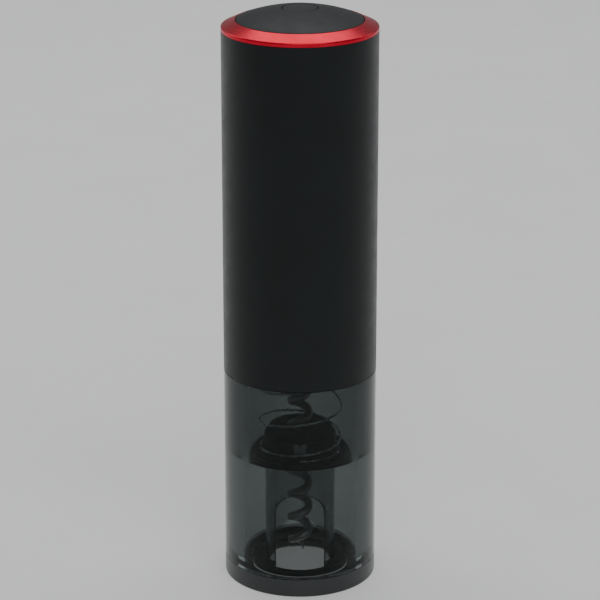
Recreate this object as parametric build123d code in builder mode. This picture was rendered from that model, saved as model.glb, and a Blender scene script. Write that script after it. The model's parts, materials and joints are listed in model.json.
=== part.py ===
"""Electric wine opener: a clear chamber with the worm and cork sleeve, a motor and gearbox above it.

Millimetres, +Z up. The origin is the middle of the foot, on the surface the opener stands on.
The front, with the sleeve's tall window, faces -Y. The charging socket is at the back, +Y.
"""

from build123d import *
from math import acos, cos, pi, radians, sin, sqrt, tan
import os

# ---------------------------------------------------------------- driving dimensions
BODY_R = 24.0             # outer radius of the whole opener
TOTAL_H = 184.2           # foot to the top of the dome
BASE_H = 5.8              # height of the dark base ring
SEAM_Z = 69.0             # where the clear chamber meets the upper housing
TRIM_Z = 177.3            # where the upper housing meets the trim ring
WALL = 2.0                # upper housing wall

# bottle opening and clear chamber
MOUTH_R = 15.2            # bottle neck opening
MOUTH_Z = (1.1, 3.7)      # its straight stretch
MOUTH_FLARE_R = 16.6      # its lead-in, below and above
FLOOR_Z = 4.4             # top of the base ring's floor
RABBET_R = 20.6           # recess in the base ring that the chamber's foot stands in
FOOT_BEVEL = 0.4
NECK_BORE_R = 18.2        # chamber bore where the bottle neck stands
SPRING_BORE_R = 16.4      # chamber bore where the spring is
STEP_Z = 41.5             # step between the two bores
SPIGOT_H = 6.0            # spigot of the chamber inside the upper housing
SPIGOT_R = 21.8
LUG_R = 22.6              # bayonet lugs on the spigot
LUG_COUNT = 3
LUG_ANGLE = 18
LUG_Z = SEAM_Z + 3.0
LUG_H = 1.6
LUG_GAP = 0.3

# guide ring, pressed into the chamber above the step
GUIDE_R = SPRING_BORE_R - 0.05
GUIDE_BORE_R = 11.4
GUIDE_Z = 40.3
GUIDE_TOP_Z = 42.6
GUIDE_FLOOR_T = 0.6
GUIDE_WELL_R = 14.0       # well that the cap's flange and the spring's first turn sit in

# carriage: sleeve and cap, pushed up by the bottle, down by the spring
SLEEVE_R = 11.1
SLEEVE_BORE_R = 9.9
SLEEVE_FOOT_Z = 5.4
SLEEVE_TOP_Z = 40.9
SLEEVE_NECK_R = 10.5
SLEEVE_NECK_Z = 46.2
WINDOW_HALF = 7.4         # half width of both sleeve windows
FRONT_WINDOW_Z = 30.0     # top of the front window's arch
BACK_WINDOW_Z = 13.6
SEAT_R = 14.9             # bottle seat: the ring under the sleeve that the bottle's mouth pushes up
SEAT_BORE_R = 11.4
SEAT_Z = 3.7
SEAT_T = 0.9
SEAT_EAR_ANGLE = 84       # arc of each ear that carries a leg of the sleeve
CAP_R = 11.4
CAP_FLANGE_R = 13.4
CAP_FLANGE_T = 1.0
CAP_TOP_Z = 49.9
CAP_HOLE_R = 4.7
CAP_LIP_R = 10.2          # lip round the cap's top
CAP_GROOVE_R = 9.8        # groove under the lip
CLIP_HALF = 1.6           # half width of the sleeve's clips at their foot
CLIP_Z = 44.4
CLIP_TOP_Z = 47.6
CLIP_NOTCH = 1.5
PRESS_GAP = 0.05          # radial gap of pieces pushed together

# return spring
SPRING_WIRE_R = 0.35
SPRING_LOW_R = 12.4
SPRING_R = 13.1
SPRING_DEAD_PITCH = 2.1
SPRING_PITCH = 10.6
SPRING_GAP = 0.03         # between the end coils and their seats

# worm
WORM_R = 2.75             # mean radius of the helix
WORM_WIRE_R = 1.35
WORM_PITCH = 8.02
WORM_TIP_Z = 6.4
WORM_TAPER = 4.2          # height over which the wire tapers to its point
WORM_LAP = 0.15           # height by which the taper runs into the full wire
WORM_TOP_Z = 84.6
WORM_PHASE = 202.9        # direction of the helix, in degrees, where the taper meets the full wire

# bulkhead and drive chuck
PLATE_Z = 80.4            # underside of the mechanism plate, where the spring seats
PLATE_T = 3.8
PLATE_R = 21.8
LEDGE_T = 3.0
LEDGE_R = 17.9
CHUCK_R = 6.0
CHUCK_Z = 79.4
CHUCK_TOP_Z = 86.6
BEARING_Z = 81.4
BEARING_H = 4.0
BEARING_R = 11.0

# gearbox: three planetary stages with one ring gear
MODULE = 0.5
SUN_TEETH = 12
PLANET_TEETH = 15
RING_TEETH = SUN_TEETH + 2 * PLANET_TEETH
PRESSURE = radians(20)
ADDENDUM = 0.7 * MODULE
DEDENDUM = 1.0 * MODULE
BACKLASH = 0.09           # taken off each tooth's thickness
PLANETS = 3
PLANET_PATH_R = MODULE * (SUN_TEETH + PLANET_TEETH) / 2
RING_R = 13.2
GEARBOX_FLANGE_R = 17.5
GEARBOX_TOP_Z = 111.6
STAGE_PITCH = 7.0         # from one stage to the next
STAGE_Z = 91.2            # top of the output carrier's plate
CARRIER_T = 2.0
CARRIER_R = 9.9
PIN_R = 1.1
PIN_H = 5.0
GEAR_H = 4.2
GEAR_GAP = 0.3            # running gap above and below each gear
RUN_FIT = 0.05            # radial clearance of shafts and pins

# motor
MOUNT_T = 1.6
MOTOR_R = 12.1
MOTOR_Z = GEARBOX_TOP_Z + MOUNT_T
MOTOR_H = 20.0
MOTOR_WALL = 1.0
SHAFT_R = 1.0
ENDCAP_H = 2.0
TERMINAL_X = 6.0

# cells and boards
CELL_R = 8.25
CELL_X = 8.6
CELL_Z = 139.4
CELL_H = 33.4
TERMINAL_H = 0.6
STRAP_W = 5.0
BOARD_Y = 13.0
BOARD_T = 1.2
BOARD_Z = (142.0, 171.0)
BOARD_HALF = 12.0
SOCKET_Z = 150.0
SWITCH_BOARD_Z = 174.6
SWITCH_BOARD_R = 19.4

# chassis
CHASSIS_R = 21.6
CHASSIS_BORE_R = 20.2
CHASSIS_Z = (87.4, 174.4)
CHASSIS_SCREW_X = 17.9
CHASSIS_SCREW_Z = (98.0, 124.0)

# trim ring, dome and button
TRIM_BAND_H = 1.2
TRIM_INNER_R = 19.6
DOME_R = 19.4
DOME_RIM_Z = 180.5
DOME_T = 1.6
BUTTON_HOLE_R = 5.6
BUTTON_R = 5.35
BUTTON_FLANGE_R = 6.6
BUTTON_FLANGE_T = 0.9
BUTTON_SINK = 0.05        # how far the button lies below the dome

LEAD_R = 0.6

os.makedirs("parts", exist_ok=True)


# ---------------------------------------------------------------- helpers
def save(builder, name):
    """Label a finished sub-part and write it under its node's name."""
    builder.part.label = name
    export_step(builder.part, f"parts/{name}.step")


def section(*corners):
    """Closed face in the XZ half-plane from (radius, height) corners."""
    with BuildSketch(Plane.XZ) as face:
        with BuildLine():
            Polyline(*corners, close=True)
        make_face()
    return face.sketch


def tube(outer, inner, low, high):
    """Section of a plain ring or tube."""
    return section((inner, low), (outer, low), (outer, high), (inner, high))


def sector(outer, angle):
    """Pie slice of the XY plane, centred on +X."""
    half = radians(angle / 2)
    with BuildSketch() as face:
        with BuildLine():
            start = Line((0, 0), (outer * cos(half), -outer * sin(half)))
            curve = ThreePointArc(start @ 1, (outer, 0), (outer * cos(half), outer * sin(half)))
            Line(curve @ 1, (0, 0))
        make_face()
    return face.sketch


def involute(angle):
    """Involute function of a pressure angle."""
    return tan(angle) - angle


def gear_face(teeth, addendum, dedendum, backlash):
    """Involute gear outline with a tooth centred on +X; each flank is an arc through three points."""
    pitch_r = MODULE * teeth / 2
    base_r = pitch_r * cos(PRESSURE)
    tip_r = pitch_r + addendum
    root_r = pitch_r - dedendum
    flank_r = max(base_r, root_r)
    half_at_pitch = pi / (2 * teeth) - backlash / (2 * pitch_r)

    def half_angle(radius):
        return half_at_pitch + involute(PRESSURE) - involute(acos(min(1.0, base_r / radius)))

    def at(radius, angle):
        return (radius * cos(angle), radius * sin(angle))

    with BuildSketch() as face:
        with BuildLine():
            for tooth in range(teeth):
                middle = 2 * pi * tooth / teeth
                gap = middle + pi / teeth
                following = middle + 2 * pi / teeth
                for side in (-1, 1):
                    low = at(flank_r, middle + side * half_angle(flank_r))
                    mid_r = (flank_r + tip_r) / 2
                    mid = at(mid_r, middle + side * half_angle(mid_r))
                    high = at(tip_r, middle + side * half_angle(tip_r))
                    ThreePointArc(low, mid, high)
                    if root_r < flank_r:
                        Line(at(root_r, middle + side * half_angle(flank_r)), low)
                ThreePointArc(
                    at(tip_r, middle - half_angle(tip_r)), at(tip_r, middle), at(tip_r, middle + half_angle(tip_r))
                )
                ThreePointArc(
                    at(root_r, middle + half_angle(flank_r)),
                    at(root_r, gap),
                    at(root_r, following - half_angle(flank_r)),
                )
        make_face()
    return face.sketch


def screw_solid(plane, head_r, head_h, shank_r, shank_l):
    """Pan-head screw with a cross recess; its head stands on the plane and its shank goes down from it."""
    recess = head_r * 0.55
    with BuildPart() as screw:
        with BuildSketch(plane):
            Circle(head_r)
        extrude(amount=head_h)
        chamfer(screw.edges().group_by(Axis(plane.origin, plane.z_dir))[-1], head_h * 0.3)
        with BuildSketch(plane):
            Circle(shank_r)
        extrude(amount=-shank_l)
        with BuildSketch(plane.offset(head_h)):
            Rectangle(2 * recess, recess * 0.4)
            Rectangle(recess * 0.4, 2 * recess)
        extrude(amount=-head_h * 0.5, mode=Mode.SUBTRACT)
    return screw.part


# ---------------------------------------------------------------- base ring
with BuildPart() as base_ring:
    revolve(
        section(
            (MOUTH_FLARE_R, 0), (BODY_R - FOOT_BEVEL, 0), (BODY_R, FOOT_BEVEL), (BODY_R, BASE_H),
            (RABBET_R, BASE_H), (RABBET_R, FLOOR_Z), (MOUTH_FLARE_R, FLOOR_Z), (MOUTH_R, MOUTH_Z[1]), (MOUTH_R, MOUTH_Z[0]),
        ),
        axis=Axis.Z,
    )
save(base_ring, "base_ring")

# ---------------------------------------------------------------- clear chamber
with BuildPart() as clear_chamber:
    foot_r = RABBET_R - 2 * PRESS_GAP
    revolve(
        section(
            (NECK_BORE_R, FLOOR_Z), (foot_r, FLOOR_Z), (foot_r, BASE_H), (BODY_R, BASE_H), (BODY_R, SEAM_Z),
            (SPIGOT_R, SEAM_Z), (SPIGOT_R, SEAM_Z + SPIGOT_H), (SPRING_BORE_R, SEAM_Z + SPIGOT_H),
            (SPRING_BORE_R, STEP_Z), (NECK_BORE_R, STEP_Z),
        ),
        axis=Axis.Z,
    )
    with BuildSketch(Plane.XY.offset(LUG_Z)):
        with PolarLocations(0, LUG_COUNT, start_angle=30):
            add(sector(LUG_R, LUG_ANGLE))
        Circle(SPIGOT_R - 0.5, mode=Mode.SUBTRACT)
    extrude(amount=LUG_H)
save(clear_chamber, "clear_chamber")

# ---------------------------------------------------------------- guide ring
with BuildPart() as guide_ring:
    revolve(
        section(
            (GUIDE_BORE_R, GUIDE_Z), (GUIDE_WELL_R + 0.4, GUIDE_Z), (GUIDE_R, STEP_Z),
            (GUIDE_R, GUIDE_TOP_Z), (GUIDE_R - 1.0, GUIDE_TOP_Z), (GUIDE_WELL_R, GUIDE_TOP_Z - 1.4),
            (GUIDE_WELL_R, GUIDE_Z + GUIDE_FLOOR_T),
            (GUIDE_BORE_R, GUIDE_Z + GUIDE_FLOOR_T),
        ),
        axis=Axis.Z,
    )
save(guide_ring, "guide_ring")

# ---------------------------------------------------------------- chamber seal
SEAL_Z = SEAM_Z + SPIGOT_H
SEAL_T = 1.2
with BuildPart() as chamber_seal:
    revolve(tube(SPIGOT_R - 0.1, SPIGOT_R - 1.1, SEAL_Z, SEAL_Z + SEAL_T), axis=Axis.Z)
    fillet(chamber_seal.edges(), SEAL_T / 4)
save(chamber_seal, "chamber_seal")


# ---------------------------------------------------------------- cork sleeve
def window_face(top, plane):
    """Arched window, open at the sleeve's foot."""
    with BuildSketch(plane) as face:
        with BuildLine():
            left = Line((-WINDOW_HALF, 0), (-WINDOW_HALF, top - WINDOW_HALF))
            arch = ThreePointArc(left @ 1, (0, top), (WINDOW_HALF, top - WINDOW_HALF))
            right = Line(arch @ 1, (WINDOW_HALF, 0))
            Line(right @ 1, left @ 0)
        make_face()
    return face.sketch


def clip_face(plane):
    """Sleeve clip seen from outside: a tapered tongue with a notch in its top."""
    top_half = CLIP_HALF + 0.2
    with BuildSketch(plane) as face:
        with BuildLine():
            Polyline(
                (-CLIP_HALF, CLIP_Z), (CLIP_HALF, CLIP_Z), (top_half, CLIP_TOP_Z),
                (CLIP_NOTCH / 3, CLIP_TOP_Z), (0, CLIP_TOP_Z - CLIP_NOTCH), (-CLIP_NOTCH / 3, CLIP_TOP_Z), (-top_half, CLIP_TOP_Z),
                close=True,
            )
        make_face()
    return face.sketch


with BuildPart() as cork_sleeve:
    revolve(
        section(
            (SLEEVE_BORE_R, SLEEVE_FOOT_Z), (SLEEVE_R - 0.3, SLEEVE_FOOT_Z), (SLEEVE_R, SLEEVE_FOOT_Z + 0.3),
            (SLEEVE_R, SLEEVE_TOP_Z), (SLEEVE_NECK_R, SLEEVE_TOP_Z), (SLEEVE_NECK_R, SLEEVE_NECK_Z),
            (SLEEVE_BORE_R, SLEEVE_NECK_Z),
        ),
        axis=Axis.Z,
    )
    extrude(window_face(FRONT_WINDOW_Z, Plane.XZ), amount=SLEEVE_R + 1, mode=Mode.SUBTRACT)
    extrude(window_face(BACK_WINDOW_Z, Plane.XZ), amount=-SLEEVE_R - 1, mode=Mode.SUBTRACT)
    extrude(clip_face(Plane.XZ.offset(SLEEVE_NECK_R - 0.3)), amount=0.9)
    extrude(clip_face(Plane.XZ.offset(-SLEEVE_NECK_R - 0.6)), amount=0.9)
save(cork_sleeve, "cork_sleeve")

# ---------------------------------------------------------------- bottle seat
with BuildPart() as bottle_seat:
    seat_step_z = SEAT_Z + SEAT_T / 2
    seat_top_z = SEAT_Z + SEAT_T
    revolve(
        section(
            (SEAT_BORE_R, SEAT_Z), (SEAT_R, SEAT_Z), (SEAT_R, seat_step_z), (SEAT_R - 0.6, seat_top_z),
            (SEAT_R - 1.2, seat_top_z), (SEAT_R - 1.6, seat_step_z), (SEAT_BORE_R + 0.7, seat_step_z),
            (SEAT_BORE_R + 0.4, seat_top_z), (SEAT_BORE_R, seat_top_z),
        ),
        axis=Axis.Z,
    )
    with BuildSketch(Plane.XY.offset(SEAT_Z)):
        with PolarLocations(0, 2):
            add(sector(SEAT_BORE_R + 0.2, SEAT_EAR_ANGLE))
        Circle(SLEEVE_BORE_R, mode=Mode.SUBTRACT)
    extrude(amount=SLEEVE_FOOT_Z - SEAT_Z)
save(bottle_seat, "bottle_seat")

# ---------------------------------------------------------------- collet cap
with BuildPart() as collet_cap:
    flange_top = SLEEVE_TOP_Z + CAP_FLANGE_T
    neck_r = SLEEVE_NECK_R + PRESS_GAP
    revolve(
        section(
            (CAP_HOLE_R, CAP_TOP_Z - 0.3), (CAP_HOLE_R + 0.3, CAP_TOP_Z), (CAP_LIP_R - 0.6, CAP_TOP_Z),
            (CAP_LIP_R, CAP_TOP_Z - 0.3), (CAP_LIP_R, CAP_TOP_Z - 0.7), (CAP_GROOVE_R, CAP_TOP_Z - 1.0),
            (CAP_GROOVE_R, CAP_TOP_Z - 1.2), (CAP_R - 0.6, CAP_TOP_Z - 1.5), (CAP_R, CAP_TOP_Z - 2.2),
            (CAP_R, flange_top), (CAP_FLANGE_R, flange_top), (CAP_FLANGE_R, SLEEVE_TOP_Z),
            (neck_r, SLEEVE_TOP_Z), (neck_r, SLEEVE_NECK_Z + 0.2), (SLEEVE_BORE_R - 0.3, SLEEVE_NECK_Z + 1.2),
            (CAP_HOLE_R, SLEEVE_NECK_Z + 1.4),
        ),
        axis=Axis.Z,
    )
    for side in (-1, 1):
        with BuildSketch(Plane.XZ.offset(-side * (SLEEVE_NECK_R - 0.6))):
            with Locations((0, (CLIP_Z + CLIP_TOP_Z) / 2)):
                Rectangle(2 * CLIP_HALF + 2 * LUG_GAP, CLIP_TOP_Z - CLIP_Z + LUG_GAP)
        extrude(amount=-side * (CAP_R - SLEEVE_NECK_R + 1.1), mode=Mode.SUBTRACT)
save(collet_cap, "collet_cap")


# ---------------------------------------------------------------- return spring
def ease(value):
    """Smooth step from 0 to 1."""
    value = min(1.0, max(0.0, value))
    return value * value * (3 - 2 * value)


def spring_path():
    """Points of a right-handed spring with closed ends, from the cap's flange to the mechanism plate."""
    per_turn = 24
    low = SLEEVE_TOP_Z + CAP_FLANGE_T + SPRING_WIRE_R + SPRING_GAP
    rise = PLATE_Z - SPRING_WIRE_R - SPRING_GAP - low
    extra = SPRING_PITCH - SPRING_DEAD_PITCH
    turns = (rise + 2 * extra) / SPRING_PITCH
    count = round(turns * per_turn)
    points = []
    height = low
    for index in range(count + 1):
        turn = turns * index / count
        angle = 2 * pi * turn - pi / 2
        radius = SPRING_LOW_R + (SPRING_R - SPRING_LOW_R) * ease(turn / 2)
        points.append((radius * cos(angle), radius * sin(angle), height))
        open_part = ease((turn - 0.9) / 0.2) * ease((turns - 0.9 - turn) / 0.2)
        height += (SPRING_DEAD_PITCH + extra * open_part) * turns / count
    return points


with BuildPart() as return_spring:
    with BuildLine() as spring_line:
        Spline(*spring_path())
    spring_wire = spring_line.wire()
    with BuildSketch(Plane(origin=spring_wire @ 0, z_dir=spring_wire % 0)):
        Circle(SPRING_WIRE_R)
    sweep(path=spring_wire, is_frenet=True)
save(return_spring, "return_spring")

# ---------------------------------------------------------------- worm
def worm_path(low, high, phase):
    """Centre line of the worm between two heights, starting in the direction phase."""
    helix = Helix(pitch=WORM_PITCH, height=high - low, radius=WORM_R, center=(0, 0, low))
    return Wire([helix.edge()]).rotate(Axis.Z, phase)


TAPER_TOP_Z = WORM_TIP_Z + WORM_TAPER
worm_wire = worm_path(TAPER_TOP_Z, WORM_TOP_Z, WORM_PHASE)
tip_phase = WORM_PHASE - 360 * WORM_TAPER / WORM_PITCH
tip_wire = worm_path(WORM_TIP_Z, TAPER_TOP_Z + WORM_LAP, tip_phase)
with BuildPart() as worm_screw:
    with BuildSketch(Plane(origin=worm_wire @ 0, z_dir=worm_wire % 0)):
        Circle(WORM_WIRE_R)
    sweep(path=worm_wire, is_frenet=True)
    for along, share in ((0, 0.12), (0.35, 0.55), (0.7, 0.85), (1, 0.97)):
        with BuildSketch(Plane(origin=tip_wire @ along, z_dir=tip_wire % along)):
            Circle(WORM_WIRE_R * share)
    sweep(path=tip_wire, multisection=True, is_frenet=True)
save(worm_screw, "worm_screw")

# ---------------------------------------------------------------- worm chuck and its clip
CLIP_GROOVE_Z = BEARING_Z + BEARING_H + 0.1
HEX_R = 2.9
with BuildPart() as worm_chuck:
    socket_r = WORM_R + WORM_WIRE_R + 0.1
    revolve(
        section(
            (socket_r, CHUCK_Z), (CHUCK_R - 0.4, CHUCK_Z), (CHUCK_R, CHUCK_Z + 0.4), (CHUCK_R, CLIP_GROOVE_Z),
            (CHUCK_R - 0.6, CLIP_GROOVE_Z), (CHUCK_R - 0.6, CLIP_GROOVE_Z + 0.6), (CHUCK_R, CLIP_GROOVE_Z + 0.6),
            (CHUCK_R, CHUCK_TOP_Z), (0, CHUCK_TOP_Z), (0, WORM_TOP_Z + 1.2), (socket_r, WORM_TOP_Z + 1.2),
        ),
        axis=Axis.Z,
    )
    with BuildSketch(Plane.XY.offset(CHUCK_TOP_Z)):
        RegularPolygon(HEX_R, 6)
    extrude(amount=STAGE_Z - CHUCK_TOP_Z)
save(worm_chuck, "worm_chuck")

with BuildPart() as retaining_clip:
    with BuildSketch(Plane.XY.offset(CLIP_GROOVE_Z + 0.05)):
        Circle(CHUCK_R + 1.2)
        Circle(CHUCK_R - 0.6 + RUN_FIT, mode=Mode.SUBTRACT)
        add(sector(CHUCK_R + 2, 50), mode=Mode.SUBTRACT)
    extrude(amount=0.5)
save(retaining_clip, "retaining_clip")

# ---------------------------------------------------------------- output bearing
with BuildPart() as output_bearing:
    race_bevel = 0.3
    ball_path_r = 8.5
    ball_r = 1.1
    revolve(
        section(
            (9.3, BEARING_Z), (BEARING_R - race_bevel, BEARING_Z), (BEARING_R, BEARING_Z + race_bevel),
            (BEARING_R, BEARING_Z + BEARING_H - race_bevel), (BEARING_R - race_bevel, BEARING_Z + BEARING_H),
            (9.3, BEARING_Z + BEARING_H),
        ),
        axis=Axis.Z,
    )
    revolve(tube(7.7, CHUCK_R + RUN_FIT, BEARING_Z, BEARING_Z + BEARING_H), axis=Axis.Z)
    with BuildSketch(Plane.XZ) as race_groove:
        with Locations((ball_path_r, BEARING_Z + BEARING_H / 2)):
            Circle(ball_r + 0.05)
    revolve(axis=Axis.Z, mode=Mode.SUBTRACT)
    with Locations((0, 0, BEARING_Z + BEARING_H / 2)):
        with PolarLocations(ball_path_r, 12):
            Sphere(ball_r)
save(output_bearing, "output_bearing")

# ---------------------------------------------------------------- mechanism plate and its screws
PLATE_SCREW_R = 19.9
GEARBOX_SCREW_R = 15.6
PLATE_TOP_Z = PLATE_Z + PLATE_T
with BuildPart() as mechanism_plate:
    revolve(
        section(
            (CHUCK_R + 1.0, PLATE_Z), (PLATE_R, PLATE_Z), (PLATE_R, PLATE_TOP_Z), (BEARING_R + 0.02, PLATE_TOP_Z),
            (BEARING_R + 0.02, BEARING_Z), (CHUCK_R + 1.0, BEARING_Z),
        ),
        axis=Axis.Z,
    )
    with BuildSketch(Plane.XY.offset(PLATE_Z)):
        with PolarLocations(PLATE_SCREW_R, 3, start_angle=90):
            Circle(1.05)
    extrude(amount=PLATE_T, mode=Mode.SUBTRACT)
    with BuildSketch(Plane.XY.offset(PLATE_Z)):
        with PolarLocations(PLATE_SCREW_R, 3, start_angle=90):
            Circle(1.7)
    extrude(amount=1.3, mode=Mode.SUBTRACT)
    with BuildSketch(Plane.XY.offset(PLATE_TOP_Z)):
        with PolarLocations(GEARBOX_SCREW_R, 3, start_angle=30):
            Circle(0.95)
    extrude(amount=-3.0, mode=Mode.SUBTRACT)
save(mechanism_plate, "mechanism_plate")

with BuildPart() as plate_screws:
    for angle in (90, 210, 330):
        seat = Vector(PLATE_SCREW_R * cos(radians(angle)), PLATE_SCREW_R * sin(radians(angle)), PLATE_Z + 1.3)
        add(screw_solid(Plane(origin=seat, z_dir=(0, 0, -1)), 1.6, 1.1, 0.95, 5.0))
save(plate_screws, "plate_screws")


# ---------------------------------------------------------------- upper housing
SOCKET_HALF_W = 4.5
SOCKET_HALF_H = 1.6
SOCKET_CORNER = 1.55
SOCKET_DEPTH = 7.6
with BuildPart() as upper_housing:
    revolve(tube(BODY_R, BODY_R - WALL, SEAM_Z, TRIM_Z), axis=Axis.Z)
    revolve(tube(BODY_R - WALL + 0.1, LEDGE_R, PLATE_TOP_Z, PLATE_TOP_Z + LEDGE_T), axis=Axis.Z)
    revolve(tube(BODY_R - WALL + 0.1, SPIGOT_R - 1.4, SEAL_Z + SEAL_T, SEAL_Z + 2 * SEAL_T), axis=Axis.Z)
    lug_roof_z = LUG_Z + LUG_H + 0.2
    revolve(tube(LUG_R + LUG_GAP, SPIGOT_R, LUG_Z - 0.2, lug_roof_z), axis=Axis.Z, mode=Mode.SUBTRACT)
    with BuildSketch(Plane.XY.offset(SEAM_Z)):
        with PolarLocations(0, LUG_COUNT, start_angle=75):
            add(sector(LUG_R + LUG_GAP, LUG_ANGLE + 4))
    extrude(amount=lug_roof_z - SEAM_Z, mode=Mode.SUBTRACT)
    with BuildSketch(Plane.XY.offset(PLATE_TOP_Z)):
        with PolarLocations(PLATE_SCREW_R, 3, start_angle=90):
            Circle(0.95)
    extrude(amount=2.6, mode=Mode.SUBTRACT)
    with BuildSketch(Plane.XZ.offset(-BODY_R + WALL + 1)):
        with Locations((0, SOCKET_Z)):
            RectangleRounded(2 * SOCKET_HALF_W + 1.0, 2 * SOCKET_HALF_H + 1.0, 1.6)
    extrude(amount=-WALL - 2, mode=Mode.SUBTRACT)
save(upper_housing, "upper_housing")

# ---------------------------------------------------------------- ring gear, which is also the gearbox case
TEETH_Z = 87.6
with BuildPart() as ring_gear:
    revolve(tube(RING_R, RING_R - 4, PLATE_TOP_Z, GEARBOX_TOP_Z), axis=Axis.Z)
    revolve(tube(GEARBOX_FLANGE_R, RING_R - 1, PLATE_TOP_Z, PLATE_TOP_Z + 2), axis=Axis.Z)
    revolve(tube(GEARBOX_FLANGE_R, RING_R - 1, GEARBOX_TOP_Z - 2, GEARBOX_TOP_Z), axis=Axis.Z)
    with BuildSketch(Plane.XY.offset(PLATE_TOP_Z)):
        Circle(BEARING_R + 0.3)
    extrude(amount=TEETH_Z - PLATE_TOP_Z, mode=Mode.SUBTRACT)
    ring_space = gear_face(RING_TEETH, DEDENDUM, ADDENDUM, -BACKLASH)
    extrude(Plane.XY.offset(TEETH_Z) * ring_space, amount=GEARBOX_TOP_Z - TEETH_Z, mode=Mode.SUBTRACT)
    for level in (PLATE_TOP_Z, GEARBOX_TOP_Z - 2):
        with BuildSketch(Plane.XY.offset(level)):
            with PolarLocations(GEARBOX_SCREW_R, 3, start_angle=30):
                Circle(1.0)
        extrude(amount=2, mode=Mode.SUBTRACT)
save(ring_gear, "ring_gear")

with BuildPart() as gearbox_screws:
    for angle in (30, 150, 270):
        east = GEARBOX_SCREW_R * cos(radians(angle))
        north = GEARBOX_SCREW_R * sin(radians(angle))
        for seat_z, length in ((PLATE_TOP_Z + 2, 4.8), (MOTOR_Z, 3.8)):
            add(screw_solid(Plane(origin=(east, north, seat_z)), 1.7, 1.2, 0.9, length))
save(gearbox_screws, "gearbox_screws")


# ---------------------------------------------------------------- planet carriers with their suns
def carrier_parts(level, thickness, with_sun):
    """Carrier plate whose top is at level, with its pins above and, below it, the sun of the next stage."""
    with BuildPart() as carrier:
        with BuildSketch(Plane.XY.offset(level - thickness)):
            Circle(CARRIER_R)
        extrude(amount=thickness)
        chamfer(carrier.edges().filter_by(GeomType.CIRCLE), 0.3)
        with BuildSketch(Plane.XY.offset(level)):
            with PolarLocations(PLANET_PATH_R, PLANETS):
                Circle(PIN_R)
        extrude(amount=PIN_H)
        if with_sun:
            sun_h = GEAR_H + 0.2
            sun = gear_face(SUN_TEETH, ADDENDUM, DEDENDUM, BACKLASH)
            extrude(Plane.XY.offset(level - thickness - sun_h) * sun, amount=sun_h)
            with BuildSketch(Plane.XY.offset(level)):
                Circle(SHAFT_R + 0.4)
            extrude(amount=-thickness - sun_h, mode=Mode.SUBTRACT)
        else:
            with BuildSketch(Plane.XY.offset(level - thickness)):
                RegularPolygon(HEX_R + RUN_FIT, 6)
            extrude(amount=thickness, mode=Mode.SUBTRACT)
    return carrier


save(carrier_parts(STAGE_Z, 3.0, False), "output_carrier")
save(carrier_parts(STAGE_Z + STAGE_PITCH, CARRIER_T, True), "middle_carrier")
save(carrier_parts(STAGE_Z + 2 * STAGE_PITCH, CARRIER_T, True), "input_carrier")


# ---------------------------------------------------------------- planet gears
def planet_gear(level, angle):
    """Planet gear on its carrier pin, turned so that it meshes with the sun and the ring at rest."""
    east = PLANET_PATH_R * cos(radians(angle))
    north = PLANET_PATH_R * sin(radians(angle))
    turned = Plane.XY.offset(level + GEAR_GAP).rotated((0, 0, angle + 180 + 180 / PLANET_TEETH))
    turned.origin = Vector(east, north, level + GEAR_GAP)
    with BuildPart() as planet:
        extrude(turned * gear_face(PLANET_TEETH, ADDENDUM, DEDENDUM, BACKLASH), amount=GEAR_H)
        with BuildSketch(Plane(origin=(east, north, level + GEAR_GAP))):
            Circle(PIN_R + RUN_FIT)
        extrude(amount=GEAR_H, mode=Mode.SUBTRACT)
    return planet


STAGES = ("output", "middle", "input")
for stage, stage_name in enumerate(STAGES):
    for number in range(PLANETS):
        planet = planet_gear(STAGE_Z + stage * STAGE_PITCH, 360 * number / PLANETS)
        save(planet, f"{stage_name}_planet_{number + 1}")

# ---------------------------------------------------------------- motor mount plate and screws
MOTOR_SCREW_R = 8.0
with BuildPart() as motor_mount_plate:
    with BuildSketch(Plane.XY.offset(GEARBOX_TOP_Z)):
        Circle(GEARBOX_FLANGE_R)
        Circle(3.1, mode=Mode.SUBTRACT)
        with PolarLocations(GEARBOX_SCREW_R, 3, start_angle=30):
            Circle(1.0, mode=Mode.SUBTRACT)
        with PolarLocations(MOTOR_SCREW_R, 2, start_angle=90):
            Circle(1.05, mode=Mode.SUBTRACT)
    extrude(amount=MOUNT_T)
save(motor_mount_plate, "motor_mount_plate")

with BuildPart() as motor_screws:
    for side in (-1, 1):
        seat = Plane(origin=(0, side * MOTOR_SCREW_R, GEARBOX_TOP_Z), z_dir=(0, 0, -1))
        add(screw_solid(seat, 1.8, 1.1, 0.95, MOUNT_T + MOTOR_WALL))
save(motor_screws, "motor_screws")

# ---------------------------------------------------------------- motor
MOTOR_TOP_Z = MOTOR_Z + MOTOR_H
with BuildPart() as motor_can:
    revolve(
        section(
            (SHAFT_R + RUN_FIT, MOTOR_Z - 1.3), (3.0, MOTOR_Z - 1.3), (3.0, MOTOR_Z), (MOTOR_R - 0.8, MOTOR_Z),
            (MOTOR_R, MOTOR_Z + 0.8), (MOTOR_R, MOTOR_TOP_Z), (MOTOR_R - MOTOR_WALL, MOTOR_TOP_Z),
            (MOTOR_R - MOTOR_WALL, MOTOR_Z + MOTOR_WALL), (SHAFT_R + RUN_FIT, MOTOR_Z + MOTOR_WALL),
        ),
        axis=Axis.Z,
    )
    with BuildSketch(Plane.XY.offset(MOTOR_Z)):
        with PolarLocations(MOTOR_SCREW_R, 2, start_angle=90):
            Circle(1.0)
    extrude(amount=MOTOR_WALL, mode=Mode.SUBTRACT)
save(motor_can, "motor_can")

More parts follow.
